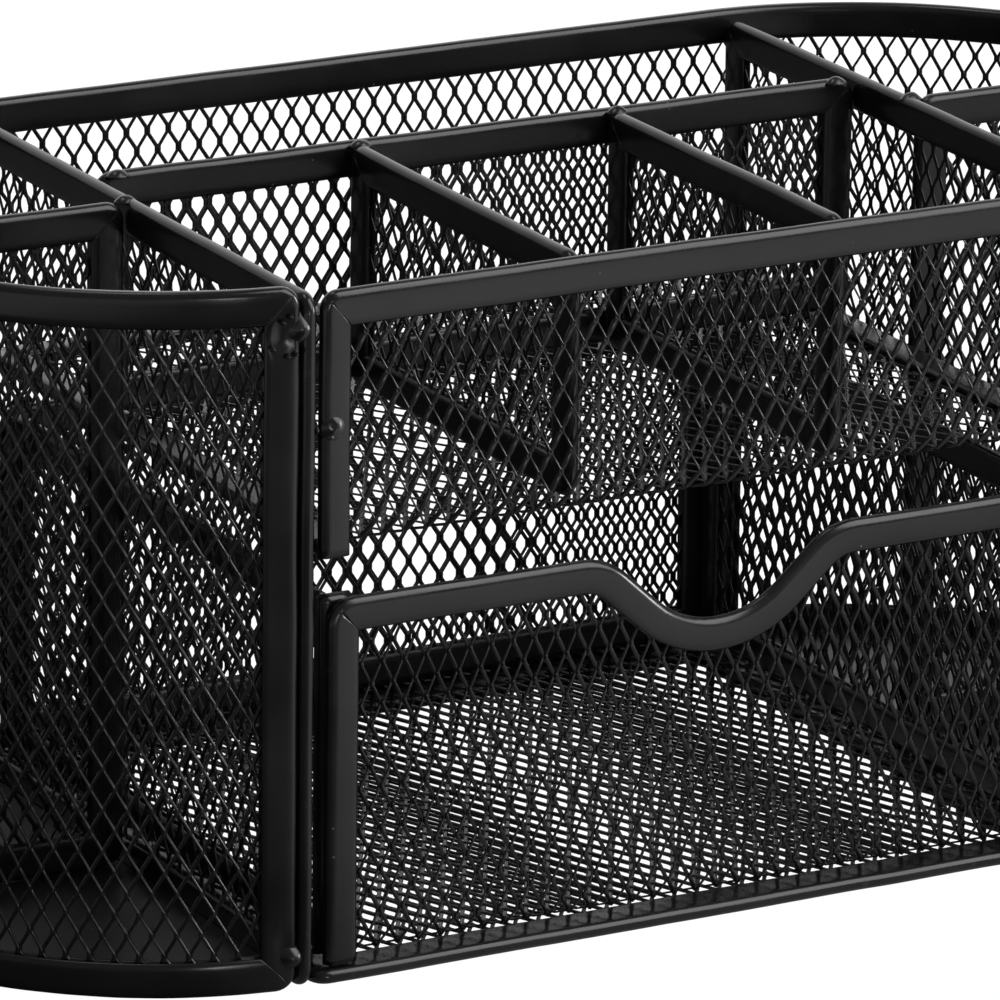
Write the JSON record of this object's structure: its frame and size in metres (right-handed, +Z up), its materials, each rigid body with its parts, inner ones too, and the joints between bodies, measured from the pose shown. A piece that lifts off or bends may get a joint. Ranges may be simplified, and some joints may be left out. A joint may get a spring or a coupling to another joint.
{
  "type": "desk organizer with drawer",
  "caption": "Black wire mesh desk organizer with rounded ends, upper compartments and a sliding drawer with a scooped front.",
  "frame": {"origin": "middle of the footprint, on the ground", "axes": "+X to the right seen from the front, +Y to the back, +Z up"},
  "size_m": [0.2222, 0.1066, 0.0986],
  "materials": {
    "expanded_mesh": "satin black powder coat on expanded steel mesh",
    "folded_strip": "satin black powder coat on folded steel strip",
    "bottom_plate": "satin black powder coat on sheet steel",
    "weld": "satin black powder coat over small weld beads"
  },
  "bodies": {
    "organizer": {"base_frame": "folded_strip", "base_mesh": "expanded_mesh", "left_end_bottom": "bottom_plate", "left_end_divider_frame": "folded_strip", "left_end_divider_mesh": "expanded_mesh", "left_end_frame": "folded_strip", "left_end_mesh": "expanded_mesh", "left_partition_frame": "folded_strip", "left_partition_mesh": "expanded_mesh", "long_divider_frame": "folded_strip", "long_divider_mesh": "expanded_mesh", "rear_wall_frame": "folded_strip", "rear_wall_mesh": "expanded_mesh", "right_end_bottom": "bottom_plate", "right_end_divider_frame": "folded_strip", "right_end_divider_mesh": "expanded_mesh", "right_end_frame": "folded_strip", "right_end_mesh": "expanded_mesh", "right_partition_frame": "folded_strip", "right_partition_mesh": "expanded_mesh", "spot_welds": "weld", "tray_divider_1_frame": "folded_strip", "tray_divider_1_mesh": "expanded_mesh", "tray_divider_2_frame": "folded_strip", "tray_divider_2_mesh": "expanded_mesh", "tray_floor_frame": "folded_strip", "tray_floor_mesh": "expanded_mesh", "tray_front_frame": "folded_strip", "tray_front_mesh": "expanded_mesh", "weld_beads": "weld"},
    "drawer": {"drawer_back_frame": "folded_strip", "drawer_back_mesh": "expanded_mesh", "drawer_floor_mesh": "expanded_mesh", "drawer_front_frame": "folded_strip", "drawer_front_mesh": "expanded_mesh", "left_drawer_corner_return": "folded_strip", "left_drawer_side_frame": "folded_strip", "left_drawer_side_mesh": "expanded_mesh", "right_drawer_corner_return": "folded_strip", "right_drawer_side_frame": "folded_strip", "right_drawer_side_mesh": "expanded_mesh"}
  },
  "joints": [
    {"name": "drawer_slide", "type": "slide", "parent": "organizer", "child": "drawer", "axis": [0, -1, 0], "range_m": [0, 0.085]}
  ]
}
